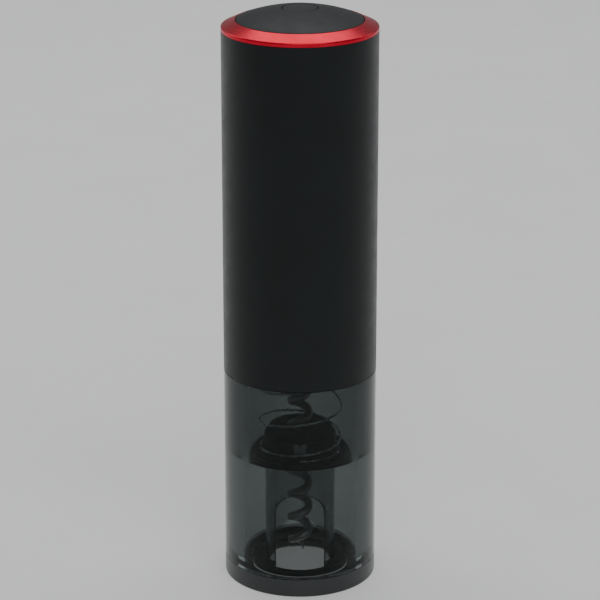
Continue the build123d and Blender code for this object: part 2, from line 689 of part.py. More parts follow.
with BuildPart() as motor_endcap:
    revolve(
        section(
            (SHAFT_R + RUN_FIT, MOTOR_TOP_Z - 2), (MOTOR_R - MOTOR_WALL, MOTOR_TOP_Z - 2),
            (MOTOR_R - MOTOR_WALL, MOTOR_TOP_Z), (MOTOR_R, MOTOR_TOP_Z), (MOTOR_R, MOTOR_TOP_Z + ENDCAP_H - 0.4),
            (MOTOR_R - 0.4, MOTOR_TOP_Z + ENDCAP_H), (SHAFT_R + RUN_FIT, MOTOR_TOP_Z + ENDCAP_H),
        ),
        axis=Axis.Z,
    )
    with BuildSketch(Plane.XY.offset(MOTOR_TOP_Z + ENDCAP_H)):
        with Locations((-TERMINAL_X, 0), (TERMINAL_X, 0)):
            Rectangle(2.4, 0.6)
    extrude(amount=2.2)
save(motor_endcap, "motor_endcap")

with BuildPart() as motor_magnets:
    with BuildSketch(Plane.XY.offset(MOTOR_Z + 2.5)):
        with PolarLocations(0, 2):
            add(sector(MOTOR_R - MOTOR_WALL - 0.05, 130))
        Circle(9.4, mode=Mode.SUBTRACT)
    extrude(amount=14.5)
save(motor_magnets, "motor_magnets")

with BuildPart() as motor_shaft:
    with BuildSketch(Plane.XY.offset(STAGE_Z + 2 * STAGE_PITCH + GEAR_GAP)):
        Circle(SHAFT_R)
    extrude(amount=MOTOR_TOP_Z + 1.6 - STAGE_Z - 2 * STAGE_PITCH - GEAR_GAP)
save(motor_shaft, "motor_shaft")

with BuildPart() as motor_armature:
    with BuildSketch(Plane.XY.offset(MOTOR_Z + 4)):
        Circle(8.9)
        with PolarLocations(5.7, 3):
            Circle(2.3, mode=Mode.SUBTRACT)
        with PolarLocations(8.2, 3):
            Rectangle(3.0, 1.2, mode=Mode.SUBTRACT)
        Circle(SHAFT_R, mode=Mode.SUBTRACT)
    extrude(amount=10.5)
    with BuildSketch(Plane.XY.offset(MOTOR_Z + 14.5)):
        Circle(2.6)
        Circle(SHAFT_R, mode=Mode.SUBTRACT)
    extrude(amount=2.6)
save(motor_armature, "motor_armature")

with BuildPart() as motor_pinion:
    pinion_z = STAGE_Z + 2 * STAGE_PITCH + GEAR_GAP
    pinion = gear_face(SUN_TEETH, ADDENDUM, DEDENDUM, BACKLASH)
    extrude(Plane.XY.offset(pinion_z) * pinion, amount=GEAR_H + 0.2)
    with BuildSketch(Plane.XY.offset(pinion_z)):
        Circle(SHAFT_R)
    extrude(amount=GEAR_H + 0.2, mode=Mode.SUBTRACT)
save(motor_pinion, "motor_pinion")


# ---------------------------------------------------------------- chassis halves and their screws
SHELF_Z = 137.8
SHELF_T = 1.0
TOP_RIB_T = 1.6
TOP_RIB_Z = CHASSIS_Z[1] - TOP_RIB_T
BOSS_R = 2.4
BOSS_HALF = 6.0
BOSS_SEAT_Y = 4.5
RIBS = (                  # underside, thickness and hole of each rib
    (CHASSIS_Z[0], 1.6, 18.2),
    (105.6, 1.8, RING_R + 0.2),
    (116.0, 1.8, MOTOR_R + 0.2),
    (129.0, 1.8, MOTOR_R + 0.2),
    (SHELF_Z, SHELF_T, 3.0),
    (TOP_RIB_Z, TOP_RIB_T, 17.6),
)


def chassis_half(side):
    """Half of the inner frame, split on the XZ plane; side is -1 for the front and 1 for the rear."""
    keep = Keep.TOP if side < 0 else Keep.BOTTOM
    with BuildPart() as half:
        revolve(tube(CHASSIS_R, CHASSIS_BORE_R, *CHASSIS_Z), axis=Axis.Z)
        for low, thickness, hole in RIBS:
            revolve(tube(CHASSIS_BORE_R + 0.2, hole, low, low + thickness), axis=Axis.Z)
        for height in CHASSIS_SCREW_Z:
            for boss_side in (-1, 1):
                boss = Plane(origin=(boss_side * CHASSIS_SCREW_X, -BOSS_HALF, height), z_dir=(0, 1, 0))
                with BuildSketch(boss):
                    Circle(BOSS_R)
                extrude(amount=2 * BOSS_HALF)
                with BuildSketch(boss.offset(1.0)):
                    Circle(0.95)
                extrude(amount=2 * BOSS_HALF - 1.0, mode=Mode.SUBTRACT)
                with BuildSketch(boss.offset(BOSS_HALF + BOSS_SEAT_Y)):
                    Circle(BOSS_R - 0.5)
                extrude(amount=BOSS_HALF, mode=Mode.SUBTRACT)
        with BuildSketch(Plane.XY.offset(SHELF_Z)):
            with Locations((0, BOARD_Y + BOARD_T / 2)):
                Rectangle(2 * BOARD_HALF - 4, 4)
        extrude(amount=SHELF_T, mode=Mode.SUBTRACT)
        with BuildSketch(Plane.XY.offset(TOP_RIB_Z)):
            with Locations((0, BOARD_Y + BOARD_T / 2)):
                Rectangle(2 * BOARD_HALF + 1, 8)
        extrude(amount=TOP_RIB_T, mode=Mode.SUBTRACT)
        with BuildSketch(Plane.XZ.offset(-CHASSIS_BORE_R + 2)):
            with Locations((0, SOCKET_Z)):
                RectangleRounded(2 * SOCKET_HALF_W + 1.0, 2 * SOCKET_HALF_H + 1.0, 1.6)
        extrude(amount=-5, mode=Mode.SUBTRACT)
        split(bisect_by=Plane.XZ, keep=keep)
    return half


chassis_front = chassis_half(-1)
chassis_rear = chassis_half(1)
save(chassis_front, "chassis_front")
save(chassis_rear, "chassis_rear")

with BuildPart() as chassis_screws:
    for height in CHASSIS_SCREW_Z:
        for side in (-1, 1):
            seat = Plane(origin=(side * CHASSIS_SCREW_X, BOSS_SEAT_Y, height), z_dir=(0, 1, 0))
            add(screw_solid(seat, 1.7, 1.1, 0.9, 9))
save(chassis_screws, "chassis_screws")

# ---------------------------------------------------------------- cells, their tray and straps
TRAY_Z = SHELF_Z + SHELF_T
TRAY_T = 0.3
TRAY_WALL = 1.0
STRAP_T = 0.3
with BuildPart() as battery_tray:
    with BuildSketch(Plane.XY.offset(TRAY_Z)):
        SlotCenterToCenter(2 * CELL_X, 2 * (CELL_R + TRAY_WALL))
        with Locations((-CELL_X, 0), (CELL_X, 0)):
            Circle(6.0, mode=Mode.SUBTRACT)
    extrude(amount=TRAY_T)
    with BuildSketch(Plane.XY.offset(TRAY_Z + TRAY_T)):
        SlotCenterToCenter(2 * CELL_X, 2 * (CELL_R + TRAY_WALL))
        with Locations((-CELL_X, 0), (CELL_X, 0)):
            Circle(CELL_R + 0.1, mode=Mode.SUBTRACT)
    extrude(amount=9.0)
    with BuildSketch(Plane.XY.offset(CELL_Z - STRAP_T)):
        Rectangle(2 * CELL_X, STRAP_W + 0.4)
    extrude(amount=0.4, mode=Mode.SUBTRACT)
save(battery_tray, "battery_tray")


def cell_at(east, terminal_up):
    """Lithium cell: a can with rounded rims and a raised terminal at one end."""
    body_z = CELL_Z if terminal_up else CELL_Z + TERMINAL_H / 2
    terminal_z = CELL_Z + CELL_H - TERMINAL_H if terminal_up else CELL_Z
    with BuildPart() as cell:
        with BuildSketch(Plane(origin=(east, 0, body_z))):
            Circle(CELL_R)
        extrude(amount=CELL_H - TERMINAL_H)
        fillet(cell.edges().filter_by(GeomType.CIRCLE), 0.6)
        with BuildSketch(Plane(origin=(east, 0, terminal_z))):
            Circle(CELL_R / 3)
        extrude(amount=TERMINAL_H)
    return cell


cell_left = cell_at(-CELL_X, True)
cell_right = cell_at(CELL_X, False)
save(cell_left, "battery_cell_left")
save(cell_right, "battery_cell_right")

CELL_TOP_Z = CELL_Z + CELL_H
with BuildPart() as battery_straps:
    with BuildSketch(Plane.XY.offset(CELL_Z - STRAP_T)):
        Rectangle(2 * CELL_X + STRAP_W, STRAP_W)
    extrude(amount=STRAP_T)
    with BuildSketch(Plane.XY.offset(CELL_TOP_Z)):
        with Locations((-CELL_X, 1.5), (CELL_X, 1.5)):
            Rectangle(STRAP_W, STRAP_W + 3.0)
    extrude(amount=STRAP_T)
save(battery_straps, "battery_straps")

# ---------------------------------------------------------------- boards, switch and charging socket
BOARD_PIECES = (          # place across and up the board, width, height and depth of each component
    (-6.5, 160, 5.0, 5.0, 1.2),
    (3.0, 163, 4.0, 6.0, 1.0),
    (7.5, 156, 4.5, 4.5, 2.4),
    (-2.0, 156, 2.0, 3.2, 0.9),
    (-8.5, 149, 3.0, 2.0, 0.9),
    (8.5, 147, 3.0, 2.0, 0.9),
)
with BuildPart() as control_board:
    board_back = BOARD_Y + BOARD_T
    board_mid = (BOARD_Z[0] + BOARD_Z[1]) / 2
    with BuildSketch(Plane.XZ.offset(-BOARD_Y)):
        with Locations((0, board_mid)):
            RectangleRounded(2 * BOARD_HALF, BOARD_Z[1] - BOARD_Z[0], 1.0)
    extrude(amount=-BOARD_T)
    for east, height, wide, high, deep in BOARD_PIECES:
        with BuildSketch(Plane.XZ.offset(-board_back + 0.1)):
            with Locations((east, height)):
                Rectangle(wide, high)
        extrude(amount=-deep - 0.1)
save(control_board, "control_board")

with BuildPart() as charging_socket:
    with BuildSketch(Plane.XZ.offset(-board_back)):
        with Locations((0, SOCKET_Z)):
            RectangleRounded(2 * SOCKET_HALF_W, 2 * SOCKET_HALF_H, SOCKET_CORNER)
            RectangleRounded(
                2 * SOCKET_HALF_W - 0.6, 2 * SOCKET_HALF_H - 0.6, SOCKET_CORNER - 0.3, mode=Mode.SUBTRACT
            )
    extrude(amount=-SOCKET_DEPTH)
    with BuildSketch(Plane.XZ.offset(-board_back)):
        with Locations((0, SOCKET_Z)):
            RectangleRounded(2 * SOCKET_HALF_W, 2 * SOCKET_HALF_H, SOCKET_CORNER)
    extrude(amount=-1.0)
    with BuildSketch(Plane.XZ.offset(-board_back)):
        with Locations((0, SOCKET_Z)):
            Rectangle(6.4, 0.7)
    extrude(amount=1.0 - SOCKET_DEPTH)
save(charging_socket, "charging_socket")

SWITCH_BOARD_T = 1.2
SWITCH_BODY_H = 3.5
SWITCH_Z = SWITCH_BOARD_Z + SWITCH_BOARD_T
STEM_Z = (SWITCH_Z + 2.0, 182.0)
with BuildPart() as switch_board:
    with BuildSketch(Plane.XY.offset(SWITCH_BOARD_Z)):
        Circle(SWITCH_BOARD_R)
        with PolarLocations(15.5, 4, start_angle=45):
            Circle(1.2, mode=Mode.SUBTRACT)
    extrude(amount=SWITCH_BOARD_T)
    for east, north, wide, deep in ((-8, 3, 3.2, 1.6), (8, -3, 2.0, 1.2), (7, 6, 2.0, 1.2)):
        with BuildSketch(Plane.XY.offset(SWITCH_Z - 0.1)):
            with Locations((east, north)):
                Rectangle(wide, deep)
        extrude(amount=0.9)
save(switch_board, "switch_board")

with BuildPart() as tact_switch:
    with BuildSketch(Plane.XY.offset(SWITCH_Z)):
        RectangleRounded(6, 6, 0.4)
    extrude(amount=SWITCH_BODY_H)
    with BuildSketch(Plane.XY.offset(SWITCH_Z + 1.0)):
        Circle(1.8)
    extrude(amount=SWITCH_BODY_H - 1.0, mode=Mode.SUBTRACT)
save(tact_switch, "tact_switch")

with BuildPart() as switch_stem:
    with BuildSketch(Plane.XY.offset(STEM_Z[0])):
        Circle(1.7)
    extrude(amount=STEM_Z[1] - STEM_Z[0])
    chamfer(switch_stem.edges().group_by(Axis.Z)[-1], 0.2)
save(switch_stem, "switch_stem")

# ---------------------------------------------------------------- trim ring
with BuildPart() as trim_ring:
    band_top = TRIM_Z + TRIM_BAND_H
    revolve(
        section(
            (TRIM_INNER_R, TRIM_Z - 2.5), (BODY_R - WALL - 0.1, TRIM_Z - 2.5), (BODY_R - WALL - 0.1, TRIM_Z),
            (BODY_R, TRIM_Z), (BODY_R, band_top), (TRIM_INNER_R, DOME_RIM_Z),
        ),
        axis=Axis.Z,
    )
    rim_edges = trim_ring.edges().filter_by_position(Axis.Z, band_top - 0.1, DOME_RIM_Z + 0.1)
    fillet(rim_edges.filter_by(GeomType.CIRCLE), 0.2)
save(trim_ring, "trim_ring")

# ---------------------------------------------------------------- dome cap and power button
SPHERE_R = (DOME_R**2 + (TOTAL_H - DOME_RIM_Z) ** 2) / (2 * (TOTAL_H - DOME_RIM_Z))
SPHERE_Z = TOTAL_H - SPHERE_R


def dome_z(radius, sink=0.0):
    """Height of the dome's surface at a radius, or of the surface that lies sink below it."""
    return SPHERE_Z + sqrt((SPHERE_R - sink) ** 2 - radius**2)


def dome_arc(start_r, end_r, sink=0.0):
    """Arc of the dome's section between two radii."""
    middle_r = (start_r + end_r) / 2
    return ThreePointArc(
        (start_r, dome_z(start_r, sink)), (middle_r, dome_z(middle_r, sink)), (end_r, dome_z(end_r, sink))
    )


with BuildPart() as dome_cap:
    skirt_z = SWITCH_Z
    inner_r = DOME_R - DOME_T
    with BuildSketch(Plane.XZ):
        with BuildLine():
            outside = Line((DOME_R, skirt_z), (DOME_R, dome_z(DOME_R)))
            crown = dome_arc(DOME_R, BUTTON_HOLE_R)
            hole = Line(crown @ 1, (BUTTON_HOLE_R, dome_z(BUTTON_HOLE_R, DOME_T)))
            ceiling = dome_arc(BUTTON_HOLE_R, inner_r, DOME_T)
            inside = Line(ceiling @ 1, (inner_r, skirt_z))
            Line(inside @ 1, outside @ 0)
        make_face()
    revolve(axis=Axis.Z)
save(dome_cap, "dome_cap")

with BuildPart() as power_button:
    flange_top = dome_z(BUTTON_FLANGE_R, DOME_T) - 0.1
    flange_z = flange_top - BUTTON_FLANGE_T
    with BuildSketch(Plane.XZ):
        with BuildLine():
            top = dome_arc(0, BUTTON_R, BUTTON_SINK)
            edge = Line(top @ 1, (BUTTON_R, flange_top))
            over = Line(edge @ 1, (BUTTON_FLANGE_R, flange_top))
            rim = Line(over @ 1, (BUTTON_FLANGE_R, flange_z))
            under = Line(rim @ 1, (BUTTON_R - 1, flange_z))
            wall = Line(under @ 1, (BUTTON_R - 1, STEM_Z[1]))
            roof = Line(wall @ 1, (0, STEM_Z[1]))
            Line(roof @ 1, top @ 0)
        make_face()
    revolve(axis=Axis.Z)
save(power_button, "power_button")


# ---------------------------------------------------------------- internal leads
def lead(*points, bend=2.5):
    """Insulated lead along straight runs joined by arcs."""
    with BuildPart() as wire:
        with BuildLine() as route:
            FilletPolyline(*points, radius=bend)
        path = route.wire()
        with BuildSketch(Plane(origin=path @ 0, z_dir=path % 0)):
            Circle(LEAD_R)
        sweep(path=path)
    return wire.part


LEAD_Y = BOARD_Y + BOARD_T / 2
with BuildPart() as motor_leads:
    for side in (-1, 1):
        east = side * TERMINAL_X
        height = MOTOR_TOP_Z + ENDCAP_H + 1.2
        add(lead((east, 0.3, height), (east, LEAD_Y, height), (east, LEAD_Y, BOARD_Z[0])))
save(motor_leads, "motor_leads")

with BuildPart() as battery_leads:
    for side in (-1, 1):
        east = side * CELL_X
        height = CELL_TOP_Z + STRAP_T + LEAD_R
        add(lead((east, 4.0, height), (east, LEAD_Y, height), (east, LEAD_Y, BOARD_Z[1]), bend=1.5))
save(battery_leads, "battery_leads")

with BuildPart() as switch_leads:
    for side in (-1, 1):
        with BuildSketch(Plane(origin=(side * 2.0, LEAD_Y, BOARD_Z[1]))):
            Circle(LEAD_R)
        extrude(amount=SWITCH_BOARD_Z - BOARD_Z[1])
save(switch_leads, "switch_leads")
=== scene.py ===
"""Looks of the electric wine opener: clear smoky chamber, black housing, red trim ring and slate dome."""

import json
from math import cos, pi, radians, sin, sqrt

import bmesh
import bpy
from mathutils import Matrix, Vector


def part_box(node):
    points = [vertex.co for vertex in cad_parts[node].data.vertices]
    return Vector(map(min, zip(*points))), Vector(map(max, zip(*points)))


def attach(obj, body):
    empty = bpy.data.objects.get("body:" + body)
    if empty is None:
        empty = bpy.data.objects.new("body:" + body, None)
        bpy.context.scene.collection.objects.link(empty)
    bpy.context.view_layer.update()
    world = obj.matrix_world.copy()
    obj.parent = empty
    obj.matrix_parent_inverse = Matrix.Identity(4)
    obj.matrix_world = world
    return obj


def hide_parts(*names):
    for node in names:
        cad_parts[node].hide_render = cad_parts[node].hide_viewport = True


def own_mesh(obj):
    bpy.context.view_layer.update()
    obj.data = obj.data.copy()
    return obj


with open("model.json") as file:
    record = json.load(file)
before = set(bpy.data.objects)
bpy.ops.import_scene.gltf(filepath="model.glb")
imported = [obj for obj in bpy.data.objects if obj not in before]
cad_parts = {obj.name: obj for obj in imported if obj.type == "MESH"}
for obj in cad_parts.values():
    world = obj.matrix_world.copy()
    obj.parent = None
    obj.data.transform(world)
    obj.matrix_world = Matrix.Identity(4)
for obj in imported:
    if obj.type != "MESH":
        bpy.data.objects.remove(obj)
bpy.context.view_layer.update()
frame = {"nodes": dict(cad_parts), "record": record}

MM = 0.001
SEGMENTS = 160            # sides of a turned piece
FINE_SEGMENTS = 224       # sides of the wide outer pieces
TURN_STEPS = 72           # points along one turn of the spring or the worm
SLIVER = 0.02             # gap left between turned pieces that touch, in mm


def box_mm(node):
    """Lowest and highest corner of a CAD node, in millimetres."""
    low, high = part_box(node)
    return Vector(low) / MM, Vector(high) / MM


# ---------------------------------------------------------------- dimensions, in millimetres
# Read from the frame
BODY_R = box_mm("upper_housing")[1].x
SEAM_Z = box_mm("upper_housing")[0].z
TRIM_Z = box_mm("upper_housing")[1].z
BASE_H = box_mm("base_ring")[1].z
FLOOR_Z = box_mm("clear_chamber")[0].z
SPIGOT_Z = box_mm("clear_chamber")[1].z
RING_LOW, RING_HIGH = box_mm("guide_ring")
SEAT_LOW, SEAT_HIGH = box_mm("bottle_seat")
SLEEVE_LOW_Z = box_mm("cork_sleeve")[0].z
CAP_LOW, CAP_HIGH = box_mm("collet_cap")
SPRING_LOW, SPRING_HIGH = box_mm("return_spring")
WORM_LOW, WORM_HIGH = box_mm("worm_screw")
DOME_LOW, DOME_HIGH = box_mm("dome_cap")
BUTTON_LOW, BUTTON_HIGH = box_mm("power_button")
TRIM_LOW_Z = box_mm("trim_ring")[0].z
SOCKET_LOW, SOCKET_HIGH = box_mm("charging_socket")

# Repeated from the part where no box shows them
PRESS_GAP = 0.05
WALL = 2.0
RABBET_R = 20.6
CHAMBER_FOOT_R = RABBET_R - 2 * PRESS_GAP
SPIGOT_R = 21.8
STEP_Z = RING_LOW.z + 1.2
NECK_BORE_R = 18.2
SPRING_BORE_R = RING_HIGH.x + PRESS_GAP
GUIDE_BORE_R = 11.4
GUIDE_WELL_R = 14.0
GUIDE_FLOOR_T = 0.6
MOUTH_R = 15.2
MOUTH_LOW, MOUTH_HIGH = 1.1, 3.7
MOUTH_FLARE_R = 16.6
SLEEVE_R = 11.1
SLEEVE_BORE_R = 9.9
SLEEVE_NECK_R = 10.5
SLEEVE_TOP_Z = CAP_LOW.z
SLEEVE_NECK_Z = 46.2
WINDOW_HALF = 7.4
FRONT_WINDOW_Z = 30.0
BACK_WINDOW_Z = 13.6
SEAT_T = 0.9
SEAT_EAR = radians(84)
SEAT_BORE_R = SLEEVE_R + 0.3
CAP_R = 11.4
CAP_HOLE_R = 4.7
CAP_LIP_R = 10.2
CAP_GROOVE_R = 9.8
CAP_FLANGE_T = 1.0
CLIP_Z = 44.4
CLIP_TOP_Z = 47.6
CLIP_HALF = 1.6
CLIP_NOTCH = 1.5
CLIP_T = 0.55
WORM_R = 2.75
WORM_WIRE_R = WORM_HIGH.x - WORM_R
WORM_PITCH = 8.02
WORM_TAPER = 4.2
WORM_PHASE = radians(202.9)
SPRING_WIRE_R = 0.35
SPRING_DEAD_PITCH = 2.1
SPRING_PITCH = 10.6
SPRING_FIRST_R = 12.4
SPRING_R = SPRING_HIGH.x - SPRING_WIRE_R
DOME_R = DOME_HIGH.x
DOME_RIM_Z = 180.5
DOME_T = 1.6
DOME_SEAT_R = 19.6
TRIM_SPIGOT_R = 21.9
TRIM_BAND_H = 1.2
TOTAL_H = 184.2
SPHERE_R = (DOME_R**2 + (TOTAL_H - DOME_RIM_Z) ** 2) / (2 * (TOTAL_H - DOME_RIM_Z))
BUTTON_HOLE_R = 5.6
BUTTON_R = 5.35
BUTTON_FLANGE_T = 0.9
BUTTON_SINK = 0.05
BUTTON_CEILING_Z = 182.0
SLOT_HALF_W, SLOT_HALF_H = 5.0, 2.1
SOCKET_Z = (SOCKET_LOW.z + SOCKET_HIGH.z) / 2


# ---------------------------------------------------------------- mesh helpers
def to_mesh(name, mesh_data):
    """Mesh of a closed bmesh, with its faces turned outwards."""
    bmesh.ops.recalc_face_normals(mesh_data, faces=mesh_data.faces[:])
    mesh = bpy.data.meshes.new(name)
    mesh_data.to_mesh(mesh)
    mesh_data.free()
    return mesh


def finish_mesh(mesh, sharp=32):
    """Smooth shading with sharp edges where faces meet at more than an angle."""
    mesh.polygons.foreach_set("use_smooth", [True] * len(mesh.polygons))
    mesh.set_sharp_from_angle(angle=radians(sharp))
    mesh.update()
    return mesh


def place(name, mesh, material, body, *nodes):
    """Put a mesh in the scene as a piece that rides on a body and stands for the named CAD nodes."""
    piece = bpy.data.objects.new(name, mesh)
    bpy.context.scene.collection.objects.link(piece)
    mesh.materials.clear()
    mesh.materials.append(material)
    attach(piece, body)
    if nodes:
        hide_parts(*nodes)
    return piece


def rounded(corners, radius=0.2, steps=5, hold=0.05):
    """Closed outline with its corners rounded; a corner may carry its own radius as a third number.

    A point is kept just outside each rounded corner, so that flat stretches stay flat when shaded.
    """
    points = [Vector(corner[:2]) for corner in corners]
    outline = []
    for index, corner in enumerate(points):
        own = corners[index][2] if len(corners[index]) > 2 else radius
        back = points[index - 1] - corner
        ahead = points[(index + 1) % len(points)] - corner
        reach = min(own, back.length * 0.45, ahead.length * 0.45)
        if reach < 0.01:
            outline.append(corner.copy())
            continue
        start = corner + back.normalized() * reach
        end = corner + ahead.normalized() * reach
        if back.length > 2.5 * reach + hold:
            outline.append(corner + back.normalized() * (reach + hold))
        for step in range(steps + 1):
            t = step / steps
            outline.append(start * (1 - t) ** 2 + corner * 2 * t * (1 - t) + end * t**2)
        if ahead.length > 2.5 * reach + hold:
            outline.append(corner + ahead.normalized() * (reach + hold))
    return outline


def turned(name, outline, segments=SEGMENTS):
    """Mesh of a closed (radius, height) outline turned about Z."""
    mesh_data = bmesh.new()
    columns = []
    for side in range(segments):
        angle = 2 * pi * side / segments
        columns.append([
            mesh_data.verts.new((p.x * MM * cos(angle), p.x * MM * sin(angle), p.y * MM)) for p in outline
        ])
    count = len(outline)
    for side in range(segments):
        here, there = columns[side], columns[(side + 1) % segments]
        for index in range(count):
            following = (index + 1) % count
            mesh_data.faces.new((here[index], there[index], there[following], here[following]))
    bmesh.ops.remove_doubles(mesh_data, verts=mesh_data.verts[:], dist=1e-7)
    return finish_mesh(to_mesh(name, mesh_data))


def prism(name, outline, depth_from, depth_to):
    """Closed prism whose (x, z) outline, in mm, is carried along Y between two depths."""
    mesh_data = bmesh.new()
    near = [mesh_data.verts.new((x * MM, depth_from * MM, z * MM)) for x, z in outline]
    far = [mesh_data.verts.new((x * MM, depth_to * MM, z * MM)) for x, z in outline]
    mesh_data.faces.new(near)
    mesh_data.faces.new(far)
    for index in range(len(outline)):
        following = (index + 1) % len(outline)
        mesh_data.faces.new((near[index], near[following], far[following], far[index]))
    return to_mesh(name, mesh_data)


def plate(name, outline, low, high):
    """Upright piece between two heights; its plan outline is one edge, then the facing edge run back."""
    mesh_data = bmesh.new()
    bottom = [mesh_data.verts.new((across * MM, deep * MM, low * MM)) for across, deep in outline]
    top = [mesh_data.verts.new((across * MM, deep * MM, high * MM)) for across, deep in outline]
    half = len(outline) // 2
    for index in range(len(outline)):
        after = (index + 1) % len(outline)
        mesh_data.faces.new((bottom[index], bottom[after], top[after], top[index]))
    for index in range(half - 1):
        facing = len(outline) - 1 - index
        mesh_data.faces.new((top[index], top[index + 1], top[facing - 1], top[facing]))
        mesh_data.faces.new((bottom[facing], bottom[facing - 1], bottom[index + 1], bottom[index]))
    return to_mesh(name, mesh_data)


def cut(mesh, cutters):
    """Mesh with each cutter mesh taken away from it exactly."""
    for cutter in cutters:
        target = bpy.data.objects.new("cut_target", mesh)
        tool = bpy.data.objects.new("cut_tool", cutter)
        for helper in (target, tool):
            bpy.context.scene.collection.objects.link(helper)
        modifier = target.modifiers.new("cut", "BOOLEAN")
        modifier.object = tool
        modifier.operation = "DIFFERENCE"
        modifier.solver = "EXACT"
        graph = bpy.context.evaluated_depsgraph_get()
        graph.update()
        mesh = bpy.data.meshes.new_from_object(target.evaluated_get(graph))
        for helper in (target, tool):
            bpy.data.objects.remove(helper)
    return finish_mesh(mesh)


def swept(name, centres, radii, sides=20):
    """Round wire along a list of points in mm, with a radius at each point; both ends are closed."""
    mesh_data = bmesh.new()
    rings = []
    count = len(centres)
    normal = Vector((0, 0, 1))
    for index, centre in enumerate(centres):
        ahead = centres[min(index + 1, count - 1)] - centres[max(index - 1, 0)]
        tangent = ahead.normalized()
        normal = (normal - tangent * normal.dot(tangent)).normalized()
        across = tangent.cross(normal)
        ring = []
        for side in range(sides):
            angle = 2 * pi * side / sides
            offset = (normal * cos(angle) + across * sin(angle)) * radii[index]
            ring.append(mesh_data.verts.new((centre + offset) * MM))
        rings.append(ring)
    for here, there in zip(rings, rings[1:]):
        for side in range(sides):
            following = (side + 1) % sides
            mesh_data.faces.new((here[side], here[following], there[following], there[side]))
    mesh_data.faces.new(list(reversed(rings[0])))
    mesh_data.faces.new(rings[-1])
    return finish_mesh(to_mesh(name, mesh_data), 50)


def ease(value):
    """Smooth step from 0 to 1."""
    value = min(1.0, max(0.0, value))
    return value * value * (3 - 2 * value)


# ---------------------------------------------------------------- material helpers
class Nodes:
    """A material's node tree, with short calls for the nodes that these finishes use."""

    def __init__(self, name):
        self.material = bpy.data.materials.new(name)
        self.material.use_nodes = True
        self.tree = self.material.node_tree
        self.tree.nodes.clear()
        self.shader = self.tree.nodes.new("ShaderNodeBsdfPrincipled")
        self.output = self.tree.nodes.new("ShaderNodeOutputMaterial")
        self.tree.links.new(self.shader.outputs["BSDF"], self.output.inputs["Surface"])
        self.place = self.tree.nodes.new("ShaderNodeTexCoord").outputs["Object"]

    def link(self, source, target):
        """Link a socket, or set a plain value."""
        if hasattr(source, "is_linked"):
            self.tree.links.new(source, target)
        else:
            target.default_value = source

    def set(self, **values):
        """Set or link inputs of the shader, by name with underscores for spaces."""
        for name, value in values.items():
            self.link(value, self.shader.inputs[name.replace("_", " ")])

    def noise(self, size_mm, detail=3.0, roughness=0.55, vector=None, distortion=0.0):
        """Noise whose features are about size_mm across."""
        node = self.tree.nodes.new("ShaderNodeTexNoise")
        node.inputs["Scale"].default_value = 1 / (size_mm * MM)
        node.inputs["Detail"].default_value = detail
        node.inputs["Roughness"].default_value = roughness
        node.inputs["Distortion"].default_value = distortion
        self.tree.links.new(vector or self.place, node.inputs["Vector"])
        return node.outputs["Fac"]

    def cells(self, size_mm, randomness=1.0, vector=None, feature="F1"):
        """Distance to the nearest cell centre, for pits, flecks and cast grain."""
        node = self.tree.nodes.new("ShaderNodeTexVoronoi")
        node.feature = feature
        node.inputs["Scale"].default_value = 1 / (size_mm * MM)
        node.inputs["Randomness"].default_value = randomness
        self.tree.links.new(vector or self.place, node.inputs["Vector"])
        return node.outputs["Distance"]

    def spread(self, value, low, high, from_low=0.3, from_high=0.7):
        """Map a value's usual range onto another range."""
        node = self.tree.nodes.new("ShaderNodeMapRange")
        node.inputs["From Min"].default_value = from_low
        node.inputs["From Max"].default_value = from_high
        node.inputs["To Min"].default_value = low
        node.inputs["To Max"].default_value = high
        self.tree.links.new(value, node.inputs["Value"])
        return node.outputs["Result"]

    def math(self, operation, first, second=0.0):
        """One arithmetic step."""
        node = self.tree.nodes.new("ShaderNodeMath")
        node.operation = operation
        self.link(first, node.inputs[0])
        self.link(second, node.inputs[1])
        return node.outputs[0]

    def mix(self, share, first, second):
        """Mix of two colours."""
        node = self.tree.nodes.new("ShaderNodeMix")
        node.data_type = "RGBA"
        self.link(share, node.inputs["Factor"])
        self.link((*first, 1.0), node.inputs["A"])
        self.link((*second, 1.0), node.inputs["B"])
        return node.outputs["Result"]

    def bump(self, height, depth_mm, strength=1.0, below=None):
        """Bump of a height that runs from 0 to 1 over depth_mm."""
        node = self.tree.nodes.new("ShaderNodeBump")
        node.inputs["Strength"].default_value = strength
        node.inputs["Distance"].default_value = depth_mm * MM
        self.tree.links.new(height, node.inputs["Height"])
        if below is not None:
            self.tree.links.new(below, node.inputs["Normal"])
        return node.outputs["Normal"]

    def round_space(self, around=1.0, upward=1.0):
        """Coordinates (angle x body radius, radius, height) for marks that run round or along the axis."""
        split = self.tree.nodes.new("ShaderNodeSeparateXYZ")
        self.tree.links.new(self.place, split.inputs[0])
        east, north, height = split.outputs
        angle = self.math("ARCTAN2", north, east)
        squares = [self.math("POWER", way, 2.0) for way in (east, north)]
        radius = self.math("SQRT", self.math("ADD", *squares))
        join = self.tree.nodes.new("ShaderNodeCombineXYZ")
        self.link(self.math("MULTIPLY", angle, BODY_R * MM * around), join.inputs[0])
        self.link(radius, join.inputs[1])
        self.link(self.math("MULTIPLY", height, upward), join.inputs[2])
        return join.outputs[0]


